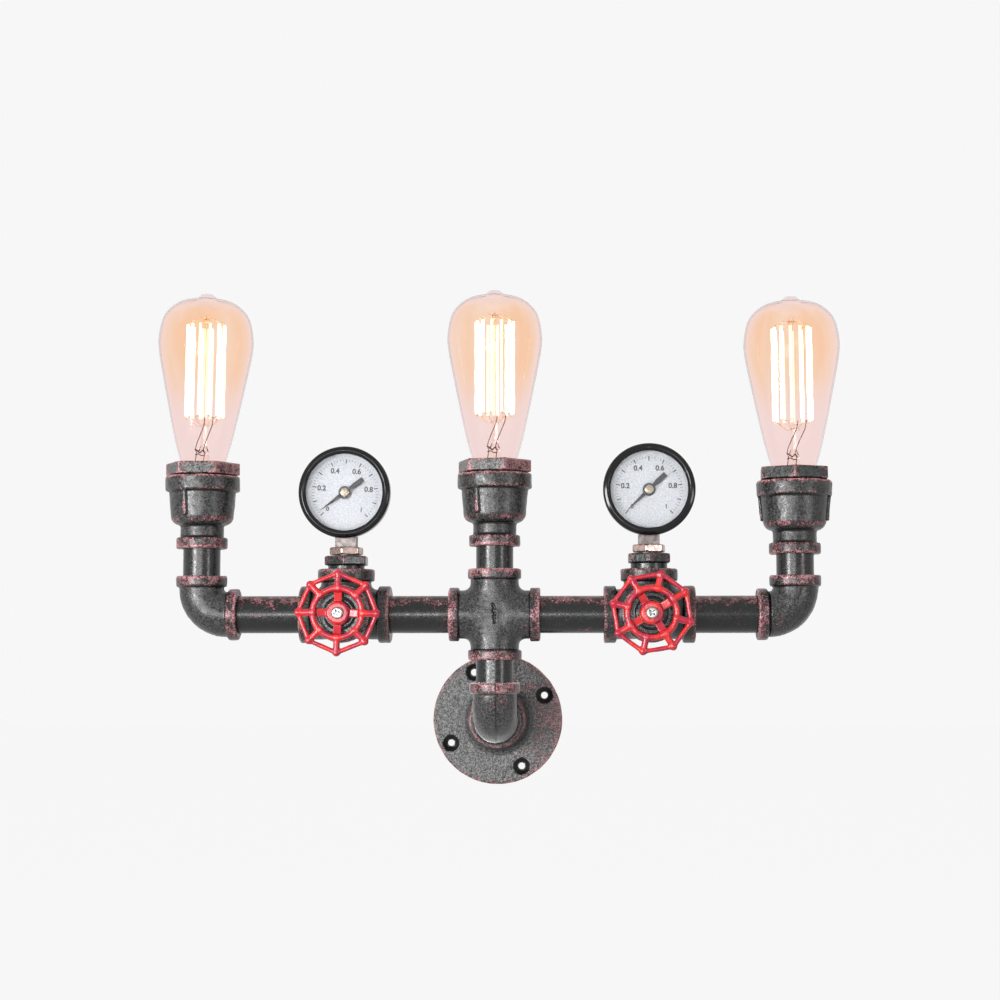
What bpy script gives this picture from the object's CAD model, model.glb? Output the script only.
import math

import bmesh
import bpy
import numpy as np
from mathutils import Matrix, Vector


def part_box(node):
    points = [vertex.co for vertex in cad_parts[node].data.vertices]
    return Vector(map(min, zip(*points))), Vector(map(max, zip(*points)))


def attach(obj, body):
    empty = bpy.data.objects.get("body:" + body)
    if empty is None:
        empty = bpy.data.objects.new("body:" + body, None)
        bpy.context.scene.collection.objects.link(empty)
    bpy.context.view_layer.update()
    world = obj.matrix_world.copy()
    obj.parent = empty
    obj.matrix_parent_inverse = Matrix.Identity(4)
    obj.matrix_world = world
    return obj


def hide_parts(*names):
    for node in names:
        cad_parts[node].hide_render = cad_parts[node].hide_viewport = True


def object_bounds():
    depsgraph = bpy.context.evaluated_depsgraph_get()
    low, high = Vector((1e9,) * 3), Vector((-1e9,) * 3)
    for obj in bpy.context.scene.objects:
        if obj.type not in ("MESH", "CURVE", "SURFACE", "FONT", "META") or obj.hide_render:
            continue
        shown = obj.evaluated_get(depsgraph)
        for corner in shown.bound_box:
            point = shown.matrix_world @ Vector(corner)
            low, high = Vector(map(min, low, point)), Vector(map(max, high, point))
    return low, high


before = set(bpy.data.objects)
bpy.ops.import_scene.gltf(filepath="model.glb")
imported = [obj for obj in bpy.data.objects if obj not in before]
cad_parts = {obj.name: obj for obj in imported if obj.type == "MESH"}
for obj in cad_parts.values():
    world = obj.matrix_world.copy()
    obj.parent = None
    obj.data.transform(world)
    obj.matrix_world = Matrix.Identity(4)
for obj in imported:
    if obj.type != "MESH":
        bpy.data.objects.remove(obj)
cad_low, cad_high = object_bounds()

# Looks of the pipe wall light. Metres; +X to the right, +Y into the wall, +Z up. Cast and forged
# pieces are meshed from distance fields, turned pieces from outlines, and the rest keep their solids.

MM = 0.001
BOX_MARGIN = 0.002 * MM
SIDES = {"left": -1, "right": 1}
LAMPS = ("left", "centre", "right")
RIGHT, LEFT = np.array([1.0, 0, 0]), np.array([-1.0, 0, 0])
UP, DOWN = np.array([0, 0, 1.0]), np.array([0, 0, -1.0])
WALLWARD, FORWARD = np.array([0, 1.0, 0]), np.array([0, -1.0, 0])

# Camera and stage
CAMERA_PLACE, CAMERA_TARGET = Vector((0.057, -1.463, 0.0455)), Vector((0.0038, -0.062, 0.1594))
CAMERA_LENS, CAMERA_SENSOR = 70.0, 36.0
BACKDROP = 0.93

# Pipe and fittings, as in the frame's solids
BORE_R, THREAD_R, THREAD_LENGTH = 10.8 * MM, 13.1 * MM, 14 * MM
ELBOW = {"reach": 27.8 * MM, "body": 15.9 * MM, "bead": 18.2 * MM, "width": 7.6 * MM}
CROSS = {"reach": 32.8 * MM, "body": 17.0 * MM, "bead": 19.2 * MM, "width": 7.3 * MM}
TEE = {"reach": 32.6 * MM, "body": 17.6 * MM, "bead": 20.5 * MM, "width": 8.8 * MM}
BEAD_EDGE, BEAD_FILLET, CAST_FILLET = 1.3 * MM, 1.2 * MM, 1.2 * MM
ELBOW_BEND, WEB_BEND = 19.0 * MM, 24 * MM
SEAM_WIDTH, SEAM_HEIGHT = 0.5 * MM, 0.35 * MM
CAST_STEP = 0.9 * MM
PROUD_REACH, PROUD_LOW, PROUD_HIGH = 6.5 * MM, 0.85 * MM, 1.75 * MM


# Distance fields: each takes points, an array whose last axis is x, y, z, and is negative inside


def plug(p, start, end, radius, edge=0.0, taper=0.0):
    """A cylinder from start to end, its rims rounded by edge and its radius growing by taper."""
    axis = np.asarray(end, float) - start
    length = np.linalg.norm(axis)
    axis = axis / length
    along = (p - start) @ axis
    radial = np.linalg.norm(p - start - along[..., None] * axis, axis=-1) - taper * along
    out = radial - radius + edge
    past = np.abs(along - length / 2) - length / 2 + edge
    return np.hypot(np.maximum(out, 0), np.maximum(past, 0)) + np.minimum(np.maximum(out, past), 0) - edge


def quarter_bend(p, first, second, bend_r, radius):
    """A quarter of a torus between the axes first and second."""
    u, v = bend_r - p @ first, bend_r - p @ second
    ring = np.hypot(u, v) - bend_r
    return np.maximum(np.hypot(ring, p @ np.cross(first, second)) - radius, np.maximum(-u, -v))


def box(p, middle, half, edge=0.0):
    q = np.abs(p - middle) - np.asarray(half) + edge
    return np.linalg.norm(np.maximum(q, 0), axis=-1) + np.minimum(q.max(-1), 0) - edge


def hexagon(p, low, high, flats, edge):
    """A hexagon prism about z, a corner at +x."""
    reach = np.full(p.shape[:-1], -1.0)
    for k in range(3):
        angle = math.pi / 6 + k * math.pi / 3
        reach = np.maximum(reach, np.abs(p[..., 0] * math.cos(angle) + p[..., 1] * math.sin(angle)))
    out = reach - flats / 2 + edge
    past = np.abs(p[..., 2] - (low + high) / 2) - (high - low) / 2 + edge
    return np.hypot(np.maximum(out, 0), np.maximum(past, 0)) + np.minimum(np.maximum(out, past), 0) - edge


def rod(p, start, end, start_r, end_r):
    """A round-ended rod that tapers from start to end."""
    axis = end - start
    share = np.clip((p - start) @ axis / (axis @ axis), 0, 1)
    return np.linalg.norm(p - start - share[..., None] * axis, axis=-1) - start_r - share * (end_r - start_r)


def blend(a, b, fillet):
    """The union of two fields, its inside corner filled by fillet."""
    mix = np.clip(0.5 + 0.5 * (b - a) / fillet, 0, 1)
    return b + (a - b) * mix - fillet * mix * (1 - mix)


def carve(body, hollow):
    return np.maximum(body, -hollow)


def surface_net(field, low, high, step):
    """Points and quads of the surface where field is zero, one point in each cell it crosses."""
    low, high = np.asarray(low, float), np.asarray(high, float)
    count = np.ceil((high - low) / step).astype(int) + 1
    axes = [low[k] + step * np.arange(count[k]) for k in range(3)]
    value = np.stack(
        [field(np.stack(np.meshgrid([x], axes[1], axes[2], indexing="ij"), -1))[0] for x in axes[0]]
    )
    inside = value < 0
    corners = [np.array([i, j, k]) for i in (0, 1) for j in (0, 1) for k in (0, 1)]
    filled = sum(
        inside[c[0] : count[0] - 1 + c[0], c[1] : count[1] - 1 + c[1], c[2] : count[2] - 1 + c[2]].astype(int)
        for c in corners
    )
    cell = np.argwhere((filled > 0) & (filled < 8))
    name = np.full(filled.shape, -1)
    name[tuple(cell.T)] = np.arange(len(cell))
    total, hits = np.zeros((len(cell), 3)), np.zeros((len(cell), 1))
    for c in corners:
        for axis in range(3):
            if c[axis]:
                continue
            onward = c.copy()
            onward[axis] = 1
            here, there = value[tuple((cell + c).T)], value[tuple((cell + onward).T)]
            crossed = (here < 0) != (there < 0)
            share = np.where(crossed, here / np.where(crossed, here - there, 1), 0)
            spot = c + share[:, None] * (onward - c)
            total += np.where(crossed[:, None], spot, 0)
            hits += crossed[:, None]
    points = low + step * (cell + total / hits)
    quads = []
    for axis in range(3):
        across, beside = np.eye(3, dtype=int)[(axis + 1) % 3], np.eye(3, dtype=int)[(axis + 2) % 3]
        first = inside.take(range(count[axis] - 1), axis)
        second = inside.take(range(1, count[axis]), axis)
        edge = np.argwhere(first != second)
        edge = edge[(edge[:, (axis + 1) % 3] > 0) & (edge[:, (axis + 2) % 3] > 0)]
        edge = edge[
            (edge[:, (axis + 1) % 3] < count[(axis + 1) % 3] - 1)
            & (edge[:, (axis + 2) % 3] < count[(axis + 2) % 3] - 1)
        ]
        ring = [edge, edge - across, edge - across - beside, edge - beside]
        quad = np.stack([name[tuple(r.T)] for r in ring], 1)
        outward = inside[tuple(edge.T)]
        quads.append(np.where(outward[:, None], quad, quad[:, ::-1]))
    return points, np.concatenate(quads)


def slope(field, p, reach):
    """The field's gradient at points."""
    steps = np.eye(3) * reach
    return np.stack([field(p + s) - field(p - s) for s in steps], -1) / (2 * reach)


def convexity(field, p, reach):
    """How sharply the surface bends outward at points, in 1/m; negative in a hollow."""
    steps = np.concatenate([np.eye(3), -np.eye(3)]) * reach
    return (sum(field(p + s) for s in steps) - 6 * field(p)) / reach**2


def proudness(field, p, normals, reach, lift=1.0 * MM):
    """How far the surface stands above its surroundings at points, as a length."""
    steady = np.where(np.abs(normals[:, 2:]) < 0.9, UP, RIGHT)
    side = np.cross(normals, steady)
    side /= np.linalg.norm(side, axis=-1, keepdims=True)
    other = np.cross(normals, side)
    total = np.zeros(len(p))
    for angle in np.arange(8) * math.pi / 4:
        total += field(p + normals * lift + (side * math.cos(angle) + other * math.sin(angle)) * reach)
    return total / 8 - lift


def ripple(p, wavelength, seed):
    """Smooth unevenness between about -1 and 1, from a few waves in fixed directions."""
    chance = np.random.default_rng(seed)
    total = np.zeros(p.shape[:-1])
    waves = 7
    for _ in range(waves):
        direction = chance.normal(size=3)
        direction *= 2 * math.pi / wavelength / np.linalg.norm(direction) * chance.uniform(0.7, 1.4)
        total += np.sin(p @ direction + chance.uniform(0, 2 * math.pi))
    return total / math.sqrt(waves)


class Form:
    """A shape meshed from its field in its own axes, with how much each point would be rubbed."""

    def __init__(self, field, low, high, step, wear_reach=1.0 * MM, blunt=60.0, sharp=420.0):
        self.points, self.quads = surface_net(field, low, high, step)
        for _ in range(2):
            gradient = slope(field, self.points, 0.1 * MM)
            size = (gradient**2).sum(-1, keepdims=True)
            move = field(self.points)[:, None] * gradient / np.maximum(size, 0.2)
            self.points -= np.clip(move, -0.5 * step, 0.5 * step)
        gradient = slope(field, self.points, 0.2 * MM)
        self.normals = gradient / np.maximum(np.linalg.norm(gradient, axis=-1, keepdims=True), 1e-9)
        bend = convexity(field, self.points, wear_reach)
        self.wear = np.clip((bend - blunt) / (sharp - blunt), 0, 1)
        self.hollow = np.clip(-bend / sharp, 0, 1)
        stands = proudness(field, self.points, self.normals, PROUD_REACH)
        self.proud = np.clip((stands - PROUD_LOW) / (PROUD_HIGH - PROUD_LOW), 0, 1)

    def mesh(self, name, matrix, unevenness=0.0, seed=0):
        """A mesh of the form put in place by matrix, roughened as a sand casting is."""
        points = self.points
        if unevenness:
            lumps = ripple(points, 11 * MM, seed) + 0.5 * ripple(points, 4.5 * MM, seed + 1)
            points = points + self.normals * (unevenness * lumps)[:, None]
        mesh = mesh_of(name, points, self.quads)
        for title, values in (("wear", self.wear), ("hollow", self.hollow), ("proud", self.proud)):
            layer = mesh.attributes.new(title, "FLOAT", "POINT")
            layer.data.foreach_set("value", values.astype(np.float32))
        mesh.transform(matrix)
        return mesh


def mesh_of(name, points, faces, smooth=True):
    mesh = bpy.data.meshes.new(name)
    mesh.from_pydata(points.tolist(), [], faces.tolist() if hasattr(faces, "tolist") else faces)
    if smooth:
        mesh.shade_smooth()
    mesh.update()
    return mesh


def add_piece(name, mesh, material, body, slot, *replaced):
    """Puts a mesh in the scene as a piece that rides on body and stands for the replaced nodes.

    Its roughness is kept inside the solids' own box, so the flange's back stays flat on the wall.
    """
    points = np.empty(3 * len(mesh.vertices), np.float32)
    mesh.vertices.foreach_get("co", points)
    points = np.clip(points.reshape(-1, 3), np.array(cad_low) + BOX_MARGIN, np.array(cad_high) - BOX_MARGIN)
    mesh.vertices.foreach_set("co", points.astype(np.float32).ravel())
    mesh.update()
    mesh.materials.clear()
    mesh.materials.append(material)
    piece = bpy.data.objects.new(name, mesh)
    bpy.context.scene.collection.objects.link(piece)
    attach(piece, body)
    if replaced:
        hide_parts(*replaced)
    return piece


def lathe(outline, segments=128, closed=False):
    """Points and faces of an outline of (radius, height) turned about z."""
    rows = [(r, z) for r, z in outline]
    angles = np.arange(segments) * 2 * math.pi / segments
    points, faces = [], []
    starts = []
    for r, z in rows:
        starts.append(len(points))
        if r < 1e-6:
            points.append((0.0, 0.0, z))
        else:
            points += [(r * math.cos(a), r * math.sin(a), z) for a in angles]
    pairs = list(zip(range(len(rows) - 1), range(1, len(rows))))
    if closed:
        pairs.append((len(rows) - 1, 0))
    for a, b in pairs:
        for k in range(segments):
            onward = (k + 1) % segments
            low = (starts[a],) if rows[a][0] < 1e-6 else (starts[a] + k, starts[a] + onward)
            high = (starts[b],) if rows[b][0] < 1e-6 else (starts[b] + onward, starts[b] + k)
            if len(low) + len(high) > 2:
                faces.append(low + high)
    return np.array(points), faces


def rounded(corners, facets=5):
    """The outline through (radius, height, rounding) corners, each rounding a few facets."""
    outline = []
    for index, (r, z, *rounding) in enumerate(corners):
        if not rounding or not rounding[0]:
            outline.append((r, z))
            continue
        here = Vector((r, z))
        back = (Vector(corners[index - 1][:2]) - here).normalized()
        onward = (Vector(corners[(index + 1) % len(corners)][:2]) - here).normalized()
        half = back.angle(onward) / 2
        centre = here + (back + onward).normalized() * rounding[0] / math.sin(half)
        cut = rounding[0] / math.tan(half)
        first, last = here + back * cut - centre, here + onward * cut - centre
        for k in range(facets + 1):
            arm = first.normalized().slerp(last.normalized(), k / facets) * rounding[0]
            outline.append(tuple(centre + arm))
    return outline


def turned_piece(name, corners, matrix, segments=128, closed=True, sharp_angle=35.0):
    """A mesh of the rounded outline turned about z, put in place by matrix."""
    points, faces = lathe(rounded(corners), segments, closed)
    mesh = mesh_of(name, points, faces)
    mesh.set_sharp_from_angle(angle=math.radians(sharp_angle))
    fix_normals(mesh)
    mesh.transform(matrix)
    return mesh


def fix_normals(mesh):
    sheet = bmesh.new()
    sheet.from_mesh(mesh)
    bmesh.ops.recalc_face_normals(sheet, faces=sheet.faces)
    sheet.to_mesh(mesh)
    sheet.free()


def tube(path, radius, sides=10):
    """Points and faces of a round tube along a path of points, closed at its ends."""
    path = [Vector(p) for p in path]
    points, faces = [], []
    side = None
    for index, here in enumerate(path):
        ahead = path[min(index + 1, len(path) - 1)] - path[max(index - 1, 0)]
        ahead.normalize()
        if side is None:
            side = ahead.orthogonal().normalized()
        side = (side - ahead * side.dot(ahead)).normalized()
        other = ahead.cross(side)
        for k in range(sides):
            angle = 2 * math.pi * k / sides
            points.append(here + (side * math.cos(angle) + other * math.sin(angle)) * radius)
    for index in range(len(path) - 1):
        for k in range(sides):
            a, b = index * sides + k, index * sides + (k + 1) % sides
            faces.append((a, b, b + sides, a + sides))
    faces.append(tuple(reversed(range(sides))))
    faces.append(tuple(range((len(path) - 1) * sides, len(path) * sides)))
    return points, faces


def joined_tubes(name, tubes, matrix):
    """One mesh of several (points, faces)."""
    points, faces = [], []
    for more_points, more_faces in tubes:
        base = len(points)
        points += [tuple(p) for p in more_points]
        faces += [tuple(base + index for index in face) for face in more_faces]
    mesh = mesh_of(name, np.array(points), faces)
    mesh.set_sharp_from_angle(angle=math.radians(50))
    mesh.transform(matrix)
    return mesh


def standing(place, turn=0.0):
    """Puts a shape's own origin at place, turned about its vertical axis by degrees."""
    return Matrix.Translation(place) @ Matrix.Rotation(math.radians(turn), 4, "Z")


def facing(place, turn=0.0):
    """Puts a shape whose own z points at the viewer, and whose y is up, at place."""
    about = Matrix.Rotation(math.radians(90), 4, "X") @ Matrix.Rotation(math.radians(turn), 4, "Z")
    return Matrix.Translation(place) @ about


def middle(node):
    low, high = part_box(node)
    return (low + high) / 2


# Materials


class Paint:
    """A node material that is built up a node at a time."""

    def __init__(self, name):
        self.material = bpy.data.materials.new(name)
        self.material.use_nodes = True
        self.tree = self.material.node_tree
        self.shader = self.tree.nodes["Principled BSDF"]
        self.place = self.node("ShaderNodeTexCoord").outputs["Object"]

    def node(self, kind, **settings):
        node = self.tree.nodes.new(kind)
        for key, value in settings.items():
            setattr(node, key, value)
        return node

    def feed(self, socket, value):
        if isinstance(value, bpy.types.NodeSocket):
            self.tree.links.new(value, socket)
        elif isinstance(value, tuple) and len(value) == 3 and socket.type == "RGBA":
            socket.default_value = (*value, 1)
        else:
            socket.default_value = value

    def set(self, **values):
        """Sets the shader's sockets, named as in the shader with _ for spaces."""
        for key, value in values.items():
            self.feed(self.shader.inputs[key.replace("_", " ")], value)

    def math(self, operation, *values):
        node = self.node("ShaderNodeMath", operation=operation)
        for socket, value in zip(node.inputs, values):
            self.feed(socket, value)
        return node.outputs[0]

    def noise(self, scale, detail=3.0, roughness=0.5, stretch=(1, 1, 1), distortion=0.0):
        place = self.place
        if stretch != (1, 1, 1):
            mapping = self.node("ShaderNodeMapping")
            mapping.inputs["Scale"].default_value = stretch
            self.feed(mapping.inputs["Vector"], place)
            place = mapping.outputs[0]
        node = self.node("ShaderNodeTexNoise")
        self.feed(node.inputs["Vector"], place)
        self.feed(node.inputs["Scale"], scale)
        self.feed(node.inputs["Detail"], detail)
        self.feed(node.inputs["Roughness"], roughness)
        self.feed(node.inputs["Distortion"], distortion)
        return node.outputs["Fac"]

    def step(self, value, low, high, to_low=0.0, to_high=1.0):
        """Value carried from the range low to high onto the range to_low to to_high, smoothly."""
        node = self.node("ShaderNodeMapRange", interpolation_type="SMOOTHSTEP")
        for key, number in zip(("From Min", "From Max", "To Min", "To Max"), (low, high, to_low, to_high)):
            self.feed(node.inputs[key], number)
        self.feed(node.inputs["Value"], value)
        return node.outputs[0]

    def mix(self, share, first, second):
        node = self.node("ShaderNodeMix", data_type="RGBA")
        self.feed(node.inputs[0], share)
        self.feed(node.inputs[6], first)
        self.feed(node.inputs[7], second)
        return node.outputs[2]

    def attribute(self, name):
        return self.node("ShaderNodeAttribute", attribute_name=name).outputs["Fac"]

    def bump(self, height, distance, strength=1.0):
        node = self.node("ShaderNodeBump")
        self.feed(node.inputs["Height"], height)
        self.feed(node.inputs["Distance"], distance)
        self.feed(node.inputs["Strength"], strength)
        self.feed(self.shader.inputs["Normal"], node.outputs[0])

    def split(self):
        """The x, y and z of the place on the object."""
        node = self.node("ShaderNodeSeparateXYZ")
        self.feed(node.inputs[0], self.place)
        return node.outputs


BLACK, PIT = (0.006, 0.007, 0.007), (0.002, 0.002, 0.002)
DARK_RED, ROSE, GLOSS_LEVEL = (0.085, 0.014, 0.02), (0.50, 0.25, 0.265), 0.42


def antique(name, grey, patches, rub, shine, grain=700, depth=0.1, edge=0.2, tops=0.0, rights=0.0, drift=None, rim=0.0):
    """Near-black paint with grey specks, rubbed back to copper red where it stands proud.

    Tops and rights say how much the faces that look up, and to the right, are rubbed; drift, how
    much the rub grows from one x to another; rim, how much the turned-away faces catch the light.
    """
    paint = Paint(name)
    wear, hollow, proud = (paint.attribute(key) for key in ("wear", "hollow", "proud"))
    cloud, blotch = paint.noise(38, 3, 0.55), paint.noise(150, 3, 0.6)
    fleck, speck = paint.noise(620, 3, 0.7), paint.noise(1150, 2, 0.6)
    worn = paint.math("ADD", paint.math("MULTIPLY", proud, 0.75), paint.math("MULTIPLY", wear, edge))
    if tops or rights:
        normal = paint.node("ShaderNodeSeparateXYZ")
        paint.feed(normal.inputs[0], paint.node("ShaderNodeNewGeometry").outputs["Normal"])
        for axis, share in (("Z", tops), ("X", rights)):
            faced = paint.step(normal.outputs[axis], 0.25, 0.75, 0.0, share)
            worn = paint.math("ADD", worn, faced)
    if drift:
        worn = paint.math("ADD", worn, paint.step(paint.split()["X"], *drift))
    worn = paint.math("ADD", worn, paint.step(cloud, 0.5, 0.7, 0.0, patches))
    ragged = paint.math("ADD", paint.step(blotch, 0.3, 0.7, -0.3, 0.25), paint.step(fleck, 0.3, 0.7, -0.35, 0.25))
    worn = paint.math("ADD", worn, ragged)
    red = paint.math("MULTIPLY", paint.step(worn, 0.25, 0.6), rub)
    red = paint.math("MULTIPLY", red, paint.step(hollow, 0.1, 0.5, 1.0, 0.0))
    bright = paint.step(paint.math("ADD", worn, paint.step(speck, 0.38, 0.62, -0.4, 0.35)), 0.4, 1.15)
    tone = paint.mix(paint.step(paint.math("ADD", fleck, speck), 0.84, 1.24), BLACK, grey)
    tone = paint.mix(paint.step(hollow, 0.2, 0.7), tone, PIT)
    copper = paint.mix(bright, DARK_RED, ROSE)
    paint.set(Base_Color=paint.mix(red, tone, copper), Metallic=0.05, Specular_IOR_Level=GLOSS_LEVEL)
    paint.set(Roughness=paint.step(fleck, 0.35, 0.65, shine - 0.1, shine + 0.14))
    if rim:
        paint.set(Sheen_Weight=rim, Sheen_Roughness=0.35)
    height = paint.math("ADD", paint.noise(grain, 3, 0.65), paint.math("MULTIPLY", speck, 0.4))
    paint.bump(height, depth * MM, 1.0)
    return paint.material


def plain(name, colour, roughness, metallic=0.0, mottle=0.12, scale=180, bump=0.05, level=0.5):
    """A quiet finish with slight variation in tone and roughness, and dirt in its hollows."""
    paint = Paint(name)
    cloud = paint.noise(scale, 3, 0.6)
    darker = tuple(c * (1 - mottle) for c in colour)
    tone = paint.mix(paint.step(cloud, 0.35, 0.65), colour, darker)
    dirt = paint.step(paint.attribute("hollow"), 0.15, 0.6)
    paint.set(Base_Color=paint.mix(dirt, tone, tuple(c * 0.06 for c in colour)), Metallic=metallic)
    paint.set(Specular_IOR_Level=level)
    paint.set(Roughness=paint.step(cloud, 0.3, 0.7, roughness * 0.85, roughness * 1.15))
    paint.bump(paint.noise(scale * 4, 3, 0.6), bump * MM)
    return paint.material


def enamel():
    """Glossy orange-red enamel over a rough casting, thin on the raised edges."""
    paint = Paint("red_enamel")
    wear, hollow = paint.attribute("wear"), paint.attribute("hollow")
    fleck, cloud = paint.noise(520, 3, 0.6), paint.noise(110, 2, 0.5)
    base = paint.mix(paint.step(cloud, 0.38, 0.62), (0.62, 0.014, 0.014), (0.40, 0.005, 0.03))
    base = paint.mix(paint.step(hollow, 0.15, 0.8), base, (0.10, 0.002, 0.012))
    rub = paint.math("MULTIPLY", paint.step(wear, 0.4, 1.0), paint.step(fleck, 0.40, 0.62))
    paint.set(Base_Color=paint.mix(rub, base, (0.85, 0.13, 0.09)), Roughness=0.3)
    paint.set(Coat_Weight=0.2, Coat_Roughness=0.2)
    paint.bump(paint.noise(420, 3, 0.6), 0.35 * MM, 0.8)
    return paint.material


PINK_GLASS = (0.98, 0.86, 0.845)


def bulb_glass_material():
    """Clear glass with a peach tint, pinker at its foot, its edges and its nub."""
    paint = Paint("peach_glass")
    weight = paint.node("ShaderNodeLayerWeight")
    weight.inputs["Blend"].default_value = 0.5
    facing_share = weight.outputs["Facing"]
    height = paint.split()["Z"]
    low = min(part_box(f"{lamp}_bulb_glass")[1].z for lamp in LAMPS) - 0.095
    streak = paint.noise(60, 2, 0.5, (1, 1, 0.12))
    warm = paint.mix(paint.step(streak, 0.35, 0.65), (1.0, 0.85, 0.755), (1.0, 0.79, 0.64))
    warm = paint.mix(paint.step(height, low, low + 0.05), PINK_GLASS, warm)
    colour = paint.mix(paint.step(facing_share, 0.25, 0.7), warm, PINK_GLASS)
    colour = paint.mix(paint.attribute("crown"), colour, PINK_GLASS)
    colour = paint.mix(paint.step(facing_share, 0.70, 0.90), colour, (0.47, 0.36, 0.42))
    paint.set(Base_Color=colour, Roughness=0.0, IOR=1.15, Transmission_Weight=1.0)
    return paint.material


def glowing(name, colour, strength):
    paint = Paint(name)
    cloud = paint.noise(240, 2, 0.5)
    tint = paint.mix(paint.step(cloud, 0.3, 0.7), colour, tuple(c * 0.85 for c in colour))
    paint.set(Base_Color=(0.9, 0.8, 0.6), Emission_Color=tint, Emission_Strength=strength)
    return paint.material


def clear_glass(name, colour, ior=1.45):
    paint = Paint(name)
    cloud = paint.noise(60, 2, 0.5)
    paint.set(Base_Color=paint.mix(cloud, colour, tuple(c * 0.98 for c in colour)))
    paint.set(Roughness=0.0, IOR=ior, Transmission_Weight=1.0)
    return paint.material


cast_iron = antique("antique_cast_iron", (0.075, 0.074, 0.073), 0.15, 0.85, 0.31, edge=0.12)
tee_iron = antique("antique_tee_iron", (0.045, 0.05, 0.047), 0.1, 0.6, 0.3, edge=0.1)
elbow_iron = antique("antique_elbow_iron", (0.10, 0.095, 0.095), 0.2, 0.9, 0.31, edge=0.15, rim=0.9)
flange_iron = antique(
    "antique_flange_iron", (0.27, 0.265, 0.265), 0.25, 0.6, 0.40, 560, 0.4, 0.05, drift=(0, 0.042, 0, 0.45)
)
pipe_iron = antique("antique_pipe", (0.012, 0.012, 0.012), 0.3, 0.9, 0.26, 900, 0.05, tops=0.5)
riser_iron = antique("antique_riser", (0.022, 0.025, 0.023), 0.1, 0.8, 0.23, 900, 0.04)
valve_iron = antique("valve_iron", (0.03, 0.036, 0.033), 0.0, 0.25, 0.22, edge=0.0, depth=0.06)
bush_iron = {
    "left": antique("left_bush_iron", (0.17, 0.165, 0.165), 0.2, 0.75, 0.31, 800, edge=0.2, rights=0.8),
    "centre": antique("centre_bush_iron", (0.19, 0.185, 0.18), 0.25, 0.7, 0.31, 800, edge=0.1, rights=0.7),
    "right": antique("right_bush_iron", (0.05, 0.055, 0.052), 0.1, 0.5, 0.3, 800, edge=0.1),
}
red_enamel = enamel()
peach_glass = bulb_glass_material()
window_glass = clear_glass("window_glass", (0.97, 0.98, 0.99))
stem_glass = clear_glass("stem_glass", (1.0, 0.93, 0.88))
white_glow = glowing("white_glow", (1.0, 0.90, 0.64), 5.0)
yellow_glow = glowing("yellow_glow", (1.0, 0.97, 0.74), 1.05)
lead_wire = plain("lead_wire", (0.10, 0.06, 0.05), 0.4, 0.8)
hook_wire = plain("hook_wire", (0.75, 0.50, 0.30), 0.4, 0.3)
gloss_black = plain("gloss_black", (0.004, 0.004, 0.005), 0.13, bump=0.02, level=0.3)
case_paint = antique("worn_case", (0.03, 0.02, 0.02), 0.6, 0.9, 0.3, tops=0.3)
dial_face = plain("dial_face", (0.76, 0.77, 0.80), 0.5, mottle=0.25, scale=900, bump=0.01)
dial_ink = plain("dial_ink", (0.07, 0.07, 0.075), 0.5)
pointer_paint = plain("pointer_paint", (0.03, 0.03, 0.033), 0.45)
boss_brass = plain("boss_brass", (0.50, 0.42, 0.32), 0.3, 0.9)
brass = plain("contact_brass", (0.72, 0.52, 0.28), 0.28, 1.0)
neck_steel = plain("neck_steel", (0.22, 0.19, 0.185), 0.45, 0.7, 0.45, 300)
nut_brass = plain("nut_brass", (0.62, 0.46, 0.41), 0.28, 0.9, 0.5, 300)
bright_steel = plain("bright_steel", (0.42, 0.40, 0.39), 0.34, 1.0, 0.4, 400)
ceramic = plain("ceramic", (0.8, 0.78, 0.73), 0.5)
shell_brass = plain("shell_brass", (0.72, 0.52, 0.28), 0.3, 1.0)
cap_metal = plain("cap_metal", (0.72, 0.71, 0.68), 0.28, 1.0)
sheath = plain("lead_sheath", (0.05, 0.05, 0.05), 0.5)
plastic = plain("block_plastic", (0.75, 0.74, 0.7), 0.45)

KEPT = {
    "flange_nipple": riser_iron,
    "riser_nipple": riser_iron,
    "centre_nipple": riser_iron,
    "lamp_holders": ceramic,
    "screw_shells": shell_brass,
    "centre_contacts": brass,
    "lamp_leads": sheath,
    "terminal_block": plastic,
}
for side in SIDES:
    for part, finish in (("inner_pipe", pipe_iron), ("outer_pipe", pipe_iron), ("nipple", riser_iron)):
        KEPT[f"{side}_{part}"] = finish
    KEPT[f"{side}_gauge_case"] = case_paint
    KEPT[f"{side}_gauge_bezel"] = gloss_black
    KEPT[f"{side}_gauge_window"] = window_glass
    KEPT[f"{side}_gauge_dial"] = dial_face
    KEPT[f"{side}_gauge_pointer"] = pointer_paint
    KEPT[f"{side}_gauge_socket"] = neck_steel
    KEPT[f"{side}_valve_spindle"] = bright_steel
for lamp in LAMPS:
    KEPT[f"{lamp}_bulb_cap"] = cap_metal

for node, material in KEPT.items():
    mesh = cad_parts[node].data
    mesh.materials.clear()
    mesh.materials.append(material)


# Castings


def port(p, direction, sizes, start=0.0):
    """One screwed end of a fitting: a body and the bead round its mouth."""
    reach, shoulder = sizes["reach"], sizes["reach"] - sizes["width"]
    body = plug(p, direction * start, direction * (reach - MM), sizes["body"])
    bead = plug(p, direction * shoulder, direction * reach, sizes["bead"], BEAD_EDGE)
    return blend(body, bead, BEAD_FILLET)


def port_hollow(p, direction, sizes, start=0.0):
    reach = sizes["reach"]
    passage = plug(p, direction * start, direction * reach, BORE_R)
    seat = plug(p, direction * (reach - THREAD_LENGTH), direction * (reach + MM), THREAD_R)
    mouth = plug(p, direction * (reach - MM), direction * (reach + MM), THREAD_R, 0, 1.0)
    return np.minimum(np.minimum(passage, seat), mouth)


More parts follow.
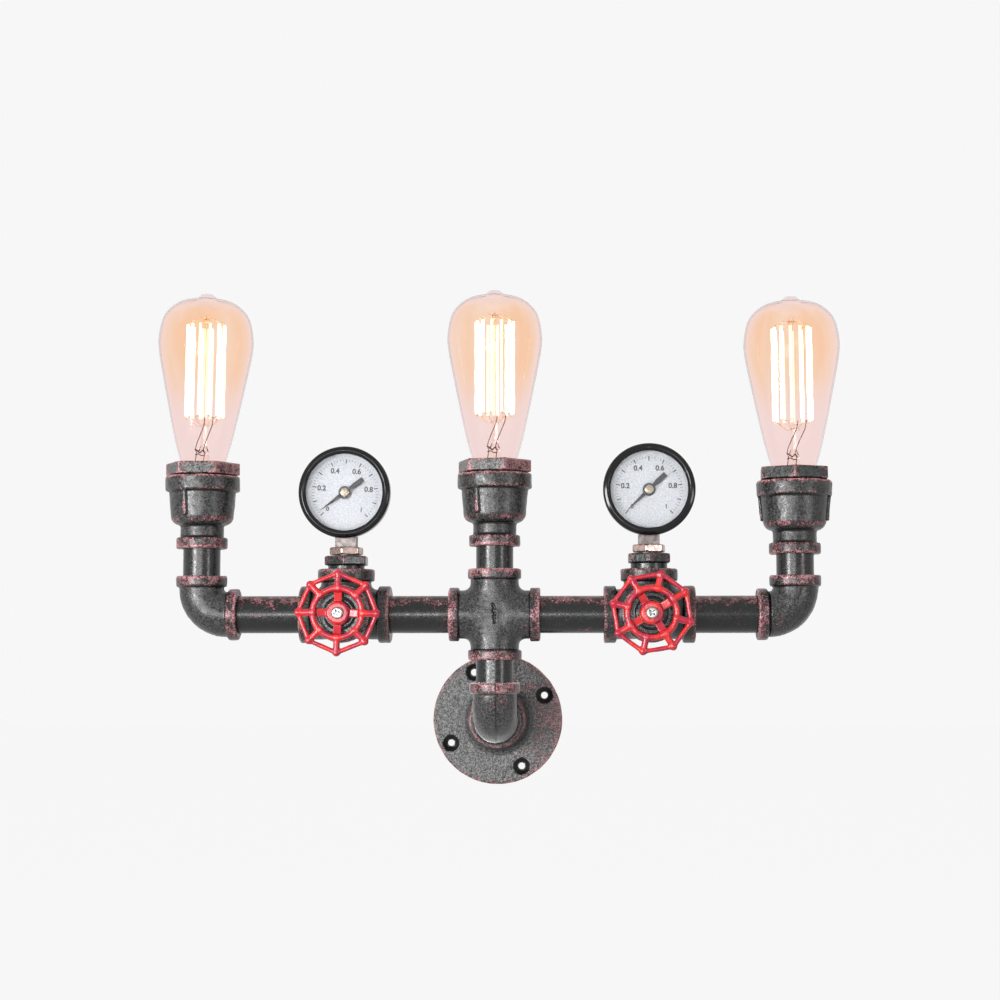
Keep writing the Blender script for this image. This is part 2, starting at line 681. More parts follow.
def seam(body, offset):
    """The body with the low ridge that the halves of its mould leave where offset is zero."""
    ridge = np.maximum(np.abs(offset) - SEAM_WIDTH, body - SEAM_HEIGHT)
    return blend(body, ridge, 0.5 * MM)


def elbow_field(first, second):
    side = np.cross(first, second)

    def field(p):
        body = quarter_bend(p, first, second, ELBOW_BEND, ELBOW["body"])
        hollow = quarter_bend(p, first, second, ELBOW_BEND, BORE_R)
        for direction in (first, second):
            body = np.minimum(body, port(p, direction, ELBOW, ELBOW_BEND))
            hollow = np.minimum(hollow, port_hollow(p, direction, ELBOW, ELBOW_BEND))
        return carve(seam(body, p @ side), hollow)

    return field


def branched_field(ports, sizes):
    def field(p):
        body = hollow = None
        for index, first in enumerate(ports):
            here, inside = port(p, first, sizes), port_hollow(p, first, sizes)
            body = here if body is None else blend(body, here, CAST_FILLET)
            hollow = inside if hollow is None else np.minimum(hollow, inside)
        for index, first in enumerate(ports):
            for second in ports[index + 1 :]:
                if abs(first @ second) < 0.5:
                    web = quarter_bend(p, first, second, WEB_BEND, sizes["body"] - 0.2 * MM)
                    body = blend(body, web, CAST_FILLET)
        return carve(body, hollow)

    return field


def casting(field, sizes, step=CAST_STEP):
    room = max(sizes["reach"], sizes["bead"]) + 2 * MM
    return Form(field, [-room] * 3, [room] * 3, step)


pipe_y = middle("left_inner_pipe").y
run_z = middle("left_inner_pipe").z
tee_x = {side: middle(f"{side}_valve_spindle").x for side in SIDES}
lamp_x = {lamp: middle(f"{lamp}_bulb_glass").x for lamp in LAMPS}
tee_centre = {side: Vector((tee_x[side], pipe_y, run_z)) for side in SIDES}

CRACK = [(-0.8, 7.0), (0.7, 4.4), (-0.7, 2.4), (1.1, 0.2), (-0.3, -1.8), (1.0, -4.0), (0.4, -6.0)]
CRACK_R = 0.8 * MM


def cross_field(p):
    """The cross, with the ragged crack that its mould left where the arms' ridges meet."""
    body = branched_field([LEFT, RIGHT, UP, DOWN], CROSS)(p)
    if p.ndim > 2 and abs(p[..., 0]).min() > 3 * MM:
        return body
    line = [np.array([x * MM, -CROSS["body"], z * MM]) for x, z in CRACK]
    for start, end in zip(line, line[1:]):
        body = carve(body, rod(p, start, end, CRACK_R, CRACK_R))
    return body


cross_form = casting(cross_field, CROSS, 0.7 * MM)
for (x, z), (next_x, next_z) in zip(CRACK, CRACK[1:]):
    start, end = np.array([x * MM, -CROSS["body"], z * MM]), np.array([next_x * MM, -CROSS["body"], next_z * MM])
    near = rod(cross_form.points, start, end, CRACK_R, CRACK_R) < 0.3 * MM
    cross_form.wear[near], cross_form.hollow[near] = 0, 1
mesh = cross_form.mesh("cross", standing(Vector((0, pipe_y, run_z))), 0.09 * MM, 3)
add_piece("cross", mesh, cast_iron, "pipe_frame", "antique_iron", "cross_fitting")
tee_form = casting(branched_field([LEFT, RIGHT, UP, FORWARD], TEE), TEE)
for side in SIDES:
    mesh = tee_form.mesh(f"{side}_tee_casting", standing(tee_centre[side]), 0.09 * MM, 5 + SIDES[side])
    add_piece(f"{side}_tee_casting", mesh, tee_iron, "pipe_frame", "antique_iron", f"{side}_tee")
ELBOW_SPOTS = {
    "wall": (WALLWARD, UP, Vector((0, pipe_y, 0))),
    "left": (RIGHT, UP, Vector((lamp_x["left"], pipe_y, run_z))),
    "right": (LEFT, UP, Vector((lamp_x["right"], pipe_y, run_z))),
}
for index, (name, (first, second, place)) in enumerate(ELBOW_SPOTS.items()):
    form = casting(elbow_field(first, second), ELBOW)
    mesh = form.mesh(f"{name}_elbow_casting", standing(place), 0.08 * MM, 11 + index)
    finish = elbow_iron if name == "wall" else cast_iron
    add_piece(f"{name}_elbow_casting", mesh, finish, "pipe_frame", "antique_iron", f"{name}_elbow")

# Bell reducers and lamp bushes; heights from the lower end

REDUCER_HEIGHT, REDUCER_BEAD_R, REDUCER_TOP_BEAD = 52.7 * MM, 26.8 * MM, 11 * MM
REDUCER_TURN = {"left": -112.0, "centre": -120.0, "right": -8.0}
FOOT_BEAD_R, FOOT_BEAD, WAIST_R = 18.5 * MM, 8 * MM, 15.6 * MM
BELL_FOOT, BELL_R, BELL_ROUND, BELL_TAPER = 17.2 * MM, 22.0 * MM, 6.0 * MM, 0.09
RIB_R, RIB_HALF, RIB_TAPER = 24.0 * MM, 1.7 * MM, 0.09
BUSH_THREAD_R, BUSH_THREAD, BUSH_FLATS = 20.95 * MM, 13.5 * MM, 47 * MM
BUSH_GAP, BUSH_HEX, BUSH_BORE_R = 0.8 * MM, 8.7 * MM, 17.3 * MM
BUSH_TURN = {"left": 0.0, "centre": -12.0, "right": 25.8}


def reducer_field(p):
    top_bead = REDUCER_HEIGHT - REDUCER_TOP_BEAD
    body = plug(p, ORIGIN, UP * FOOT_BEAD, FOOT_BEAD_R, BEAD_EDGE)
    body = blend(body, plug(p, ORIGIN + UP * MM, UP * 30 * MM, WAIST_R), BEAD_FILLET)
    bell = plug(p, UP * BELL_FOOT, UP * (REDUCER_HEIGHT + BELL_ROUND), BELL_R, BELL_ROUND, BELL_TAPER)
    bell = np.maximum(bell, p[..., 2] - REDUCER_HEIGHT + MM)
    body = blend(body, bell, 2.0 * MM)
    middle_z = (BELL_FOOT + 5 * MM + REDUCER_HEIGHT) / 2
    rib = box(p, [0, 0, middle_z], [REDUCER_BEAD_R + 2 * MM, RIB_HALF, REDUCER_HEIGHT - 1.8 * MM - middle_z], 0.8 * MM)
    shrunk = plug(
        p, UP * (BELL_FOOT + 2 * MM), UP * (REDUCER_HEIGHT + BELL_ROUND), RIB_R, 6 * MM, RIB_TAPER
    )
    body = blend(body, np.maximum(rib, shrunk), 1.0 * MM)
    body = blend(body, plug(p, UP * top_bead, UP * REDUCER_HEIGHT, REDUCER_BEAD_R, BEAD_EDGE), BEAD_FILLET)
    hollow = plug(p, UP * -MM, UP * THREAD_LENGTH, THREAD_R)
    hollow = np.minimum(hollow, plug(p, ORIGIN, UP * 24 * MM, BORE_R))
    hollow = np.minimum(hollow, plug(p, UP * 20.2 * MM, UP * 60 * MM, 19.4 * MM, 5.5 * MM))
    seat = plug(p, UP * (REDUCER_HEIGHT - BUSH_THREAD - 0.5 * MM), UP * 60 * MM, BUSH_THREAD_R)
    return carve(body, np.minimum(hollow, seat))


def bush_field(p):
    top = BUSH_GAP + BUSH_HEX
    body = hexagon(p, BUSH_GAP, top, BUSH_FLATS, 0.7 * MM)
    body = np.minimum(body, plug(p, UP * -BUSH_THREAD, UP * (BUSH_GAP + MM), BUSH_THREAD_R))
    bore = plug(p, UP * (-BUSH_THREAD - MM), UP * (top + MM), BUSH_BORE_R)
    flare = plug(p, UP * (top - MM), UP * (top + MM), BUSH_BORE_R, 0, 1.0)
    return carve(body, np.minimum(bore, flare))


ORIGIN = np.zeros(3)
room = REDUCER_BEAD_R + 3 * MM
reducer_form = Form(reducer_field, [-room, -room, -2 * MM], [room, room, REDUCER_HEIGHT + 2 * MM], CAST_STEP)
room = BUSH_FLATS / math.sqrt(3) + 2 * MM
bush_form = Form(bush_field, [-room, -room, -BUSH_THREAD - 2 * MM], [room, room, 12 * MM], 0.7 * MM)
for index, lamp in enumerate(LAMPS):
    foot = Vector((lamp_x[lamp], pipe_y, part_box(f"{lamp}_reducer")[0].z))
    mesh = reducer_form.mesh(f"{lamp}_bell", standing(foot, REDUCER_TURN[lamp]), 0.1 * MM, 20 + index)
    add_piece(f"{lamp}_bell", mesh, cast_iron, "pipe_frame", "antique_iron", f"{lamp}_reducer")
    seat = foot + Vector((0, 0, REDUCER_HEIGHT))
    mesh = bush_form.mesh(f"{lamp}_hex_bush", standing(seat, BUSH_TURN[lamp]), 0.05 * MM, 30 + index)
    add_piece(f"{lamp}_hex_bush", mesh, bush_iron[lamp], "pipe_frame", "antique_iron", f"{lamp}_bush")

# Wall flange; its own z points at the viewer

FLANGE_R, FLANGE_PLATE, FLANGE_HEIGHT, FLANGE_HUB_R = 48 * MM, 6 * MM, 18 * MM, 22 * MM
BOLT_CIRCLE_R, BOLT_HOLE_R, BOLT_SINK_R, BOLT_ANGLE, BOLT_COUNT = 39 * MM, 2.5 * MM, 6 * MM, 27.0, 4


def flange_field(p):
    body = plug(p, ORIGIN, UP * FLANGE_PLATE, FLANGE_R, 1.2 * MM)
    hub = plug(p, UP * MM, UP * FLANGE_HEIGHT, FLANGE_HUB_R + 2.5 * MM, 1.3 * MM, -0.22)
    body = blend(body, hub, 4 * MM)
    hollow = plug(p, UP * -MM, UP * (FLANGE_HEIGHT + MM), THREAD_R)
    for index in range(BOLT_COUNT):
        angle = math.radians(BOLT_ANGLE + index * 360 / BOLT_COUNT)
        spot = BOLT_CIRCLE_R * np.array([math.cos(angle), math.sin(angle), 0])
        hole = plug(p, spot - UP * MM, spot + UP * FLANGE_HEIGHT, BOLT_HOLE_R)
        sink_depth = BOLT_SINK_R - BOLT_HOLE_R
        sink = plug(
            p, spot + UP * (FLANGE_PLATE - sink_depth - 0.5 * MM), spot + UP * (FLANGE_PLATE - 0.5 * MM),
            BOLT_HOLE_R, 0, 1.0,
        )
        mouth = plug(p, spot + UP * (FLANGE_PLATE - 0.6 * MM), spot + UP * FLANGE_HEIGHT, BOLT_SINK_R)
        hollow = np.minimum(hollow, np.minimum(hole, np.minimum(sink, mouth)))
    return carve(body, hollow)


room = FLANGE_R + 2 * MM
flange_form = Form(flange_field, [-room, -room, -2 * MM], [room, room, FLANGE_HEIGHT + 2 * MM], 0.8 * MM)
mesh = flange_form.mesh("flange_casting", facing(Vector((0, 0, 0))), 0.07 * MM, 41)
add_piece("flange_casting", mesh, flange_iron, "pipe_frame", "antique_iron", "wall_flange")

# Handwheels; their own z points at the viewer, from the pipe's axis

WHEEL_BACK, WHEEL_FRONT, HUB_R, HUB_NOSE_R = 44.8 * MM, 52.6 * MM, 8.6 * MM, 7.2 * MM
WHEEL_SQUARE = 5.8 * MM
RING_R, RING_TUBE_R, RING_HEIGHT = 17.2 * MM, 2.1 * MM, 53.4 * MM
TIP_R, TIP_BALL_R, RIM_BAR_R, RIM_HEIGHT = 27.6 * MM, 2.4 * MM, 1.6 * MM, 52.6 * MM
OUTER_SPOKES, OUTER_SPOKE_R, INNER_SPOKES = 8, 2.2 * MM, 4
INNER_SPOKE_WIDTH, INNER_SPOKE_DEPTH = 5.6 * MM, 2.6 * MM
WHEEL_TURN = {"left": -1.0, "right": -58.5}
WHEEL_FILLET = 1.2 * MM


def wheel_spot(index, radius, height):
    angle = 2 * math.pi * index / OUTER_SPOKES + math.pi / 2
    return np.array([radius * math.cos(angle), radius * math.sin(angle), height])


def flat_bar(p, start, end, width, depth, edge):
    axis = end - start
    length = np.linalg.norm(axis)
    axis = axis / length
    across = np.cross(UP, axis)
    across /= np.linalg.norm(across)
    q = np.stack([(p - start) @ axis - length / 2, (p - start) @ across, (p - start) @ np.cross(axis, across)], -1)
    return box(q, ORIGIN, [length / 2, width / 2, depth / 2], edge)


def wheel_field(p):
    body = np.hypot(np.hypot(p[..., 0], p[..., 1]) - RING_R, p[..., 2] - RING_HEIGHT) - RING_TUBE_R
    hub = plug(p, UP * WHEEL_BACK, UP * WHEEL_FRONT, HUB_R + 0.3 * MM, 1.4 * MM, -0.15)
    for index in range(INNER_SPOKES):
        step = OUTER_SPOKES // INNER_SPOKES * index
        start, end = wheel_spot(step, 5 * MM, WHEEL_BACK + 3.2 * MM), wheel_spot(step, RING_R, RING_HEIGHT - MM)
        spoke = flat_bar(p, start, end, INNER_SPOKE_WIDTH, INNER_SPOKE_DEPTH, 0.8 * MM)
        body = blend(body, spoke, WHEEL_FILLET)
    body = blend(body, hub, WHEEL_FILLET)
    for index in range(OUTER_SPOKES):
        tip, root = wheel_spot(index, TIP_R, RIM_HEIGHT), wheel_spot(index, RING_R, RING_HEIGHT)
        following = wheel_spot(index + 1, TIP_R, RIM_HEIGHT)
        body = blend(body, rod(p, root, tip, OUTER_SPOKE_R + 0.2 * MM, OUTER_SPOKE_R), WHEEL_FILLET)
        body = blend(body, np.linalg.norm(p - tip, axis=-1) - TIP_BALL_R, WHEEL_FILLET)
        body = blend(body, rod(p, tip, following, RIM_BAR_R, RIM_BAR_R), WHEEL_FILLET)
    return carve(body, box(p, [0, 0, WHEEL_BACK], [WHEEL_SQUARE / 2, WHEEL_SQUARE / 2, 20 * MM]))


room = TIP_R + TIP_BALL_R + 2 * MM
wheel_form = Form(
    wheel_field, [-room, -room, WHEEL_BACK - 2 * MM], [room, room, RING_HEIGHT + 4 * MM],
    0.5 * MM, 0.7 * MM, 350, 1500,
)
SCREW_HEAD_R, SCREW_HEAD_HEIGHT, SCREW_SHANK_R, SCREW_LENGTH = 4.3 * MM, 2.4 * MM, 2 * MM, 12 * MM
RECESS_LENGTH, RECESS_WIDTH, RECESS_DEPTH = 4.6 * MM, 1.1 * MM, 1.5 * MM


def screw_field(p):
    top = WHEEL_FRONT + SCREW_HEAD_HEIGHT
    body = plug(p, UP * (WHEEL_FRONT - 2 * MM), UP * top, SCREW_HEAD_R, 1.5 * MM)
    body = np.maximum(body, WHEEL_FRONT - p[..., 2])
    body = np.minimum(body, plug(p, UP * (WHEEL_FRONT - SCREW_LENGTH), UP * (WHEEL_FRONT + MM), SCREW_SHANK_R))
    for half in ([RECESS_LENGTH, RECESS_WIDTH], [RECESS_WIDTH, RECESS_LENGTH]):
        slot_box = box(p, [0, 0, top], [half[0] / 2, half[1] / 2, RECESS_DEPTH], 0.2 * MM)
        body = carve(body, slot_box)
    return body


room = SCREW_HEAD_R + MM
screw_form = Form(
    screw_field, [-room, -room, WHEEL_FRONT - SCREW_LENGTH - MM], [room, room, WHEEL_FRONT + 3.4 * MM],
    0.22 * MM, 0.3 * MM, 800, 4000,
)
BONNET_FLATS, BONNET_GAP, BONNET_HEX, GLAND_R, GLAND_TOP = 30 * MM, 0.8 * MM, 6 * MM, 8 * MM, 43.6 * MM
BONNET_FOOT, SPINDLE_BORE_R = 19.6 * MM, 4.25 * MM


def bonnet_field(p):
    foot = TEE["reach"] + BONNET_GAP
    body = hexagon(p, foot, foot + BONNET_HEX, BONNET_FLATS, 0.6 * MM)
    body = np.maximum(body, plug(p, UP * foot, UP * (foot + BONNET_HEX), 16.6 * MM, 2.2 * MM))
    body = np.minimum(body, plug(p, UP * BONNET_FOOT, UP * (foot + MM), THREAD_R))
    body = blend(body, plug(p, UP * foot, UP * (foot + BONNET_HEX + 1.4 * MM), 11 * MM, 0.8 * MM), 0.8 * MM)
    body = blend(body, plug(p, UP * foot, UP * GLAND_TOP, GLAND_R, 0.9 * MM), 0.8 * MM)
    return carve(body, plug(p, ORIGIN, UP * 60 * MM, SPINDLE_BORE_R))


room = 19 * MM
bonnet_form = Form(bonnet_field, [-room, -room, BONNET_FOOT - MM], [room, room, GLAND_TOP + MM], 0.6 * MM)
for side in SIDES:
    wheel_body = f"{side}_wheel"
    centre = tee_centre[side]
    mesh = wheel_form.mesh(f"{side}_wheel_casting", facing(centre, WHEEL_TURN[side]), 0.07 * MM, 50 + SIDES[side])
    add_piece(f"{side}_wheel_casting", mesh, red_enamel, wheel_body, "wheel_red", f"{side}_handwheel")
    mesh = screw_form.mesh(f"{side}_hub_screw", facing(centre, WHEEL_TURN[side] + 20))
    add_piece(f"{side}_hub_screw", mesh, bright_steel, wheel_body, "screw_steel", f"{side}_wheel_screw")
    mesh = bonnet_form.mesh(f"{side}_bonnet", facing(centre, 12))
    add_piece(f"{side}_bonnet", mesh, valve_iron, "pipe_frame", "valve_iron", f"{side}_valve_bonnet")

# Gauge bushes and lock nuts

GAUGE_BUSH_FLATS, GAUGE_BUSH_HEX, GAUGE_BUSH_TURN = 29.6 * MM, 6.8 * MM, 30.0
GAUGE_BUSH_COLLAR = {"left": 2.8 * MM, "right": 4.3 * MM}
GAUGE_NUT_FLATS, GAUGE_NUT_HEX, GAUGE_NUT_GAP = 22 * MM, 5.4 * MM, 0.9 * MM
SHANK_R = 7 * MM


def gauge_bush_field(collar):
    def field(p):
        body = hexagon(p, collar, collar + GAUGE_BUSH_HEX, GAUGE_BUSH_FLATS, 0.9 * MM)
        body = np.maximum(body, plug(p, UP * (collar - 4 * MM), UP * (collar + GAUGE_BUSH_HEX), 17.2 * MM, 2.6 * MM))
        body = np.minimum(body, plug(p, UP * -12 * MM, UP * (collar + MM), THREAD_R))
        return carve(body, plug(p, UP * -20 * MM, UP * 20 * MM, SHANK_R))

    return field


def gauge_nut_field(p):
    body = hexagon(p, 0, GAUGE_NUT_HEX, GAUGE_NUT_FLATS, 0.5 * MM)
    body = np.maximum(body, plug(p, ORIGIN, UP * GAUGE_NUT_HEX, 12.4 * MM, 1.5 * MM))
    return carve(body, plug(p, UP * -MM, UP * 20 * MM, SHANK_R))


room = 18.5 * MM
nut_form = Form(gauge_nut_field, [-14 * MM, -14 * MM, -MM], [14 * MM, 14 * MM, 7 * MM], 0.45 * MM, 0.6 * MM, 200, 1000)
for side in SIDES:
    collar = GAUGE_BUSH_COLLAR[side]
    form = Form(gauge_bush_field(collar), [-room, -room, -13 * MM], [room, room, 13 * MM], 0.6 * MM)
    tee_end = tee_centre[side] + Vector((0, 0, TEE["reach"]))
    mesh = form.mesh(f"{side}_gauge_plug", standing(tee_end, GAUGE_BUSH_TURN), 0.04 * MM, 60)
    add_piece(f"{side}_gauge_plug", mesh, valve_iron, "pipe_frame", "valve_iron", f"{side}_gauge_bush")
    nut_foot = tee_end + Vector((0, 0, collar + GAUGE_BUSH_HEX + GAUGE_NUT_GAP))
    mesh = nut_form.mesh(f"{side}_lock_nut", standing(nut_foot, 20))
    add_piece(f"{side}_lock_nut", mesh, nut_brass, "pipe_frame", "nut_brass", f"{side}_gauge_nut")

# Print on the dials, and the pointers' brass bosses; their own z points at the viewer

PRINT_TOP, PRINT_THICKNESS = 11.15 * MM, 0.1 * MM
SCALE_START, SCALE_SWEEP, SCALE_STEPS = 225.0, 270.0, 50
SCALE_IN, SCALE_MINOR_IN, SCALE_OUT = 20.9 * MM, 22.3 * MM, 24.0 * MM
NUMBER_R, NUMBER_HEIGHT, END_NUMBER_HEIGHT, DIAL_TURN = 17.2 * MM, 3.7 * MM, 3.0 * MM, {"left": -2.0, "right": 0.0}
BOSS_FOOT = 14.0 * MM


def number_mesh(words, height):
    """Points and faces of a number, flat, its middle at the origin."""
    curve = bpy.data.curves.new(words, "FONT")
    curve.body, curve.size, curve.offset = words, height / 0.72, height * 0.05
    curve.align_x, curve.align_y = "CENTER", "CENTER"
    carrier = bpy.data.objects.new(words, curve)
    mesh = bpy.data.meshes.new_from_object(carrier)
    points = [v.co.copy() for v in mesh.vertices]
    faces = [tuple(f.vertices) for f in mesh.polygons]
    bpy.data.objects.remove(carrier)
    bpy.data.curves.remove(curve)
    bpy.data.meshes.remove(mesh)
    return points, faces


def dial_print(name, matrix):
    """The scale's lines and numbers, as thin plates on the dial."""
    points, faces = [], []
    for k in range(SCALE_STEPS + 1):
        major = k % 5 == 0
        angle = math.radians(SCALE_START - SCALE_SWEEP * k / SCALE_STEPS)
        out, across = Vector((math.cos(angle), math.sin(angle), 0)), Vector((-math.sin(angle), math.cos(angle), 0))
        half = (0.46 if major else 0.14) * MM
        start = SCALE_IN if major else SCALE_MINOR_IN
        base = len(points)
        points += [out * start - across * half * 0.7, out * SCALE_OUT - across * half,
                   out * SCALE_OUT + across * half, out * start + across * half * 0.7]
        faces.append((base, base + 1, base + 2, base + 3))
    for tenths, words in ((0, "0"), (2, "0.2"), (4, "0.4"), (6, "0.6"), (8, "0.8"), (10, "1")):
        height = NUMBER_HEIGHT if 0 < tenths < 10 else END_NUMBER_HEIGHT
        angle = math.radians(SCALE_START - SCALE_SWEEP * tenths / 10)
        place = Vector((math.cos(angle), math.sin(angle), 0)) * NUMBER_R
        more, loops = number_mesh(words, height)
        base = len(points)
        points += [p + place for p in more]
        faces += [tuple(base + index for index in loop) for loop in loops]
    mesh = mesh_of(name, np.array(points), faces, False)
    sheet = bmesh.new()
    sheet.from_mesh(mesh)
    bmesh.ops.recalc_face_normals(sheet, faces=sheet.faces)
    up = [f for f in sheet.faces if f.normal.z < 0]
    bmesh.ops.reverse_faces(sheet, faces=up)
    bmesh.ops.solidify(sheet, geom=sheet.faces[:], thickness=PRINT_THICKNESS)
    sheet.to_mesh(mesh)
    sheet.free()
    mesh.transform(matrix @ Matrix.Translation((0, 0, PRINT_TOP)))
    return mesh


for side in SIDES:
    centre = Vector((tee_x[side], pipe_y, (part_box(f"{side}_gauge_bezel")[0].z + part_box(f"{side}_gauge_bezel")[1].z) / 2))
    mesh = dial_print(f"{side}_dial_print", facing(centre, DIAL_TURN[side]))
    add_piece(f"{side}_dial_print", mesh, dial_ink, "pipe_frame", "dial_white")
    boss = turned_piece(
        f"{side}_boss",
        [(r * MM, BOSS_FOOT + z * MM, edge * MM) for r, z, edge in (
            (0.0, -1.1, 0), (3.2, -1.1, 0), (3.2, 0.3, 0.6), (1.5, 0.7, 0.3), (1.2, 0.3, 0.1), (0.8, 0.3, 0.1),
            (0.8, 0.7, 0.2), (0.0, 0.7, 0))],
        facing(centre), 48, False,
    )
    add_piece(f"{side}_boss", boss, boss_brass, f"{side}_pointer", "pointer_black")

# Bulbs; heights from the bush's top face

GLASS_OUTLINE = [
    (12.7, -10.5), (13.3, -7.5), (15.9, 0.0), (20.7, 17.0), (25.9, 40.5), (31.1, 66.0), (33.7, 80.0),
    (34.4, 92.0), (31.0, 107.5), (22.0, 117.0), (10.5, 120.6), (0.0, 121.2),
]
GLASS_WALL = 0.8 * MM


def smooth_line(points, pieces):
    """A Catmull-Rom curve through points, each stretch in several pieces."""
    points = [np.array(p, float) for p in points]
    padded = [2 * points[0] - points[1], *points, points[-1] * [-1, 1] if points[-1][0] else points[-2] * [-1, 1]]
    line = []
    for k in range(1, len(padded) - 2):
        before, here, there, after = padded[k - 1 : k + 3]
        for index in range(pieces):
            t = index / pieces
            line.append(
                0.5 * (
                    2 * here + (there - before) * t + (2 * before - 5 * here + 4 * there - after) * t**2
                    + (3 * here - before - 3 * there + after) * t**3
                )
            )
    line.append(points[-1])
    return line


def glass_mesh(name, matrix):
    """The envelope and the nub on its crown, one thin wall throughout."""
    curve = [point for point in smooth_line(GLASS_OUTLINE, 6) if point[0] > 10.2]
    nub = smooth_line([(9.6, 120.8), (7.6, 121.4), (6.0, 122.8), (4.4, 124.1), (2.4, 124.8), (0.0, 125.0)], 3)
    outer = np.array([*curve, *nub]) * MM
    ahead = np.gradient(outer, axis=0)
    ahead /= np.linalg.norm(ahead, axis=1, keepdims=True)
    inner = outer + np.stack([-ahead[:, 1], ahead[:, 0]], 1) * GLASS_WALL
    inner[-1, 0] = 0
    outline = [tuple(point) for point in [*outer, *inner[::-1]]]
    points, faces = lathe(outline, 160, True)
    mesh = mesh_of(name, points, faces)
    fix_normals(mesh)
    layer = mesh.attributes.new("crown", "FLOAT", "POINT")
    layer.data.foreach_set("value", np.clip((points[:, 2] - 117 * MM) / (4 * MM), 0, 1).astype(np.float32))
    mesh.transform(matrix)
    return mesh


STEM_OUTLINE = [
    (r * MM, z * MM, edge * MM) for r, z, edge in (
        (0.0, -13.0, 0), (11.2, -13.0, 0), (11.2, -12.2, 0.4), (4.4, -1.0, 5.0), (4.4, 8.0, 3.0), (2.2, 13.0, 1.0),
        (1.5, 28.0, 1.0), (1.2, 104.0, 0), (2.3, 105.5, 0.6), (2.3, 107.0, 0.8), (0.0, 108.5, 0))
]
STRANDS, STRAND_R, STRAND_WIRE_R, STRAND_LOOP_R = 12, 13.6 * MM, 0.95 * MM, 0.35 * MM
STRAND_LOW, STRAND_HIGH = 34.5 * MM, 101.5 * MM
HOOK_R, HOOK_ROOT_HIGH, HOOK_ROOT_LOW = 0.18 * MM, 106.0 * MM, 29.0 * MM
BULB_TURN, BULB_LEAN = {"left": 7.0, "centre": 8.5, "right": 6.0}, {"left": 0.8, "centre": 0.0, "right": -0.45}


def strand_spot(index, height, radius=STRAND_R):
    angle = 2 * math.pi * (index + 0.5) / STRANDS
    return Vector((radius * math.cos(angle), radius * math.sin(angle), height))


def strand_tubes(outer):
    """The filament's upright runs, those to the left and right or those in the middle."""
    tubes = []
    for index in range(STRANDS):
        outward = abs(math.cos(2 * math.pi * (index + 0.5) / STRANDS)) > 0.5
        if outward != outer:
            continue
        low, high = strand_spot(index, STRAND_LOW), strand_spot(index, STRAND_HIGH)
        path = [low.lerp(high, k / 12) * (1 + 0.012 * math.sin(k * 1.9 + index)) for k in range(13)]
        for k, point in enumerate(path):
            point.z = STRAND_LOW + (STRAND_HIGH - STRAND_LOW) * k / 12
        tubes.append(tube(path, STRAND_WIRE_R, 12))
    return tubes


def hook_tubes():
    """Support wires from the rod out to the bends between neighbouring runs, high and low."""
    tubes = []
    for index in range(STRANDS):
        height, root = (STRAND_HIGH, HOOK_ROOT_HIGH) if index % 2 == 0 else (STRAND_LOW, HOOK_ROOT_LOW)
        first, second = strand_spot(index, height), strand_spot(index + 1, height)
        bend = (first + second) / 2
        arch = Vector((0, 0, 1.6 * MM if index % 2 == 0 else -1.6 * MM))
        if index < STRANDS - 1:
            sides = [first.lerp(bend, 0.5) + arch * 0.8, bend + arch, bend.lerp(second, 0.5) + arch * 0.8]
            tubes.append(tube([first, *sides, second], STRAND_LOOP_R, 8))
        inward = Vector((bend.x, bend.y, 0))
        rise = Vector((0, 0, root))
        arm = [rise, rise + inward * 0.35 + arch, rise.lerp(bend, 0.8) + arch * 0.9, bend + arch]
        tubes.append(tube(arm, HOOK_R, 8))
    return tubes


def lead_tubes():
    """The two lead wires, out of the pinched stem and slanting up to the filament."""
    tubes = []
    for x, y in ((-4.6, -3.8), (1.4, -4.0)):
        wire = [(x - 0.8, y, -6), (x - 0.2, y - 0.4, 3), (x + 0.5, y - 0.3, 7.5), (x - 0.6, y, 10), (x + 0.2, y, 14),
                (x + 2.8, y - 1.5, 20), (x + 6.2, y - 4.5, 27.5), (x + 7.0, y - 6.5, 33)]
        tubes.append(tube([Vector(p) * MM for p in wire], 0.3 * MM, 8))
    pinch = [(-5.4, -3.9, 10.2), (-3.4, -4.8, 9.0), (-1.6, -5.0, 7.6), (0.4, -5.0, 9.4), (2.2, -4.6, 7.2)]
    tubes.append(tube([Vector(p) * MM for p in pinch], 0.55 * MM, 8))
    pinch = [(-5.2, -4.2, 6.2), (-2.6, -5.0, 6.8), (-0.4, -5.0, 5.4), (1.8, -4.2, 5.8)]
    tubes.append(tube([Vector(p) * MM for p in pinch], 0.35 * MM, 8))
    return tubes


for lamp in LAMPS:
    seat = Vector((lamp_x[lamp], pipe_y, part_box(f"{lamp}_bulb_glass")[1].z - 125 * MM))
    turn, lean = BULB_TURN[lamp], Matrix.Rotation(math.radians(BULB_LEAN[lamp]), 4, "Y")
    upright, turned = standing(seat) @ lean, standing(seat) @ lean @ Matrix.Rotation(math.radians(turn), 4, "Z")
    mesh = glass_mesh(f"{lamp}_envelope", upright)
    add_piece(f"{lamp}_envelope", mesh, peach_glass, f"{lamp}_bulb", "bulb_glass", f"{lamp}_bulb_glass")
    body, mount = f"{lamp}_bulb", f"{lamp}_filament_mount"
    stem = turned_piece(f"{lamp}_stem", STEM_OUTLINE, upright, 48, False)
    add_piece(f"{lamp}_stem", stem, stem_glass, body, "filament", mount)
    for title, tubes, finish in (
        ("outer_strands", strand_tubes(True), white_glow),
        ("inner_strands", strand_tubes(False), yellow_glow),
        ("hooks", hook_tubes(), hook_wire),
        ("lead_wires", lead_tubes(), lead_wire),
    ):
        mesh = joined_tubes(f"{lamp}_{title}", tubes, upright if title == "lead_wires" else turned)
        add_piece(f"{lamp}_{title}", mesh, finish, body, "filament", mount)

# Stage

